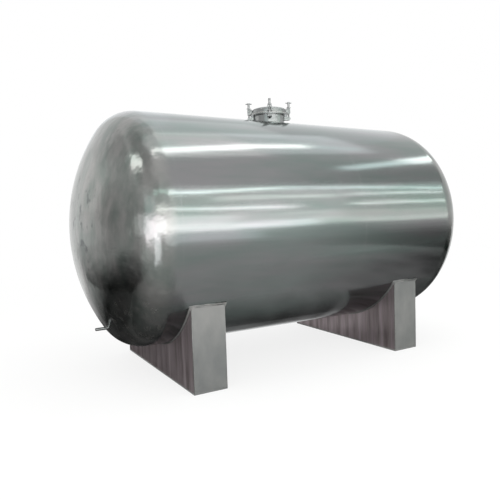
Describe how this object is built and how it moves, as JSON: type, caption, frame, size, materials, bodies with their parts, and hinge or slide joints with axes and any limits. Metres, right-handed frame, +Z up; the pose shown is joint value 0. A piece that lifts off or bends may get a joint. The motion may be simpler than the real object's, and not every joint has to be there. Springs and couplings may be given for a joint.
{
  "type": "horizontal storage tank",
  "caption": "Horizontal cylindrical stainless storage tank with pressed heads, two box saddles, a swing-bolted manway on top and a low drain stub in one head.",
  "frame": {"origin": "on the floor, midway between the two heads, under the tank axis", "axes": "+X along the tank towards the head without the drain, -Y to the front, +Z up"},
  "size_m": [3.8178, 1.9998, 2.465],
  "materials": {
    "shell_stainless": "polished lengthwise, soft reflections",
    "head_stainless": "bright, slightly uneven pressed surface",
    "saddle_stainless": "satin plate",
    "web_stainless": "bright mill plate",
    "fitting_stainless": "polished",
    "bolt_stainless": "turned",
    "gasket_rubber": "matt"
  },
  "bodies": {
    "vessel": {"near_shell_course": "shell_stainless", "far_shell_course": "shell_stainless", "near_head": "head_stainless", "far_head": "head_stainless", "drain_stub": "fitting_stainless", "manway_neck": "fitting_stainless", "manway_flange": "fitting_stainless", "manway_lid": "fitting_stainless", "manway_gasket": "gasket_rubber", "bolt_bracket_1": "fitting_stainless", "bolt_pin_1": "bolt_stainless", "bolt_bracket_2": "fitting_stainless", "bolt_pin_2": "bolt_stainless", "bolt_bracket_3": "fitting_stainless", "bolt_pin_3": "bolt_stainless", "bolt_bracket_4": "fitting_stainless", "bolt_pin_4": "bolt_stainless", "near_saddle_base_plate": "saddle_stainless", "near_saddle_outer_web": "web_stainless", "near_saddle_inner_web": "web_stainless", "near_saddle_back_plate": "saddle_stainless", "near_saddle_front_plate": "saddle_stainless", "near_saddle_wear_plate": "saddle_stainless", "far_saddle_base_plate": "saddle_stainless", "far_saddle_outer_web": "web_stainless", "far_saddle_inner_web": "web_stainless", "far_saddle_back_plate": "saddle_stainless", "far_saddle_front_plate": "saddle_stainless", "far_saddle_wear_plate": "saddle_stainless"},
    "bolt_1": {"swing_bolt_1": "bolt_stainless", "tee_nut_1": "bolt_stainless"},
    "bolt_2": {"swing_bolt_2": "bolt_stainless", "tee_nut_2": "bolt_stainless"},
    "bolt_3": {"swing_bolt_3": "bolt_stainless", "tee_nut_3": "bolt_stainless"},
    "bolt_4": {"swing_bolt_4": "bolt_stainless", "tee_nut_4": "bolt_stainless"}
  },
  "joints": [
    {"name": "bolt_1_swing", "type": "hinge", "parent": "vessel", "child": "bolt_1", "pos_m": [0.119, 0.17147, 2.304], "axis": [-0.866, 0.5, 0], "range_deg": [0, 90]},
    {"name": "bolt_2_swing", "type": "hinge", "parent": "vessel", "child": "bolt_2", "pos_m": [-0.15147, 0.099, 2.304], "axis": [-0.5, -0.866, 0], "range_deg": [0, 90]},
    {"name": "bolt_3_swing", "type": "hinge", "parent": "vessel", "child": "bolt_3", "pos_m": [-0.079, -0.17147, 2.304], "axis": [0.866, -0.5, 0], "range_deg": [0, 90]},
    {"name": "bolt_4_swing", "type": "hinge", "parent": "vessel", "child": "bolt_4", "pos_m": [0.19147, -0.099, 2.304], "axis": [0.5, 0.866, 0], "range_deg": [0, 90]}
  ]
}
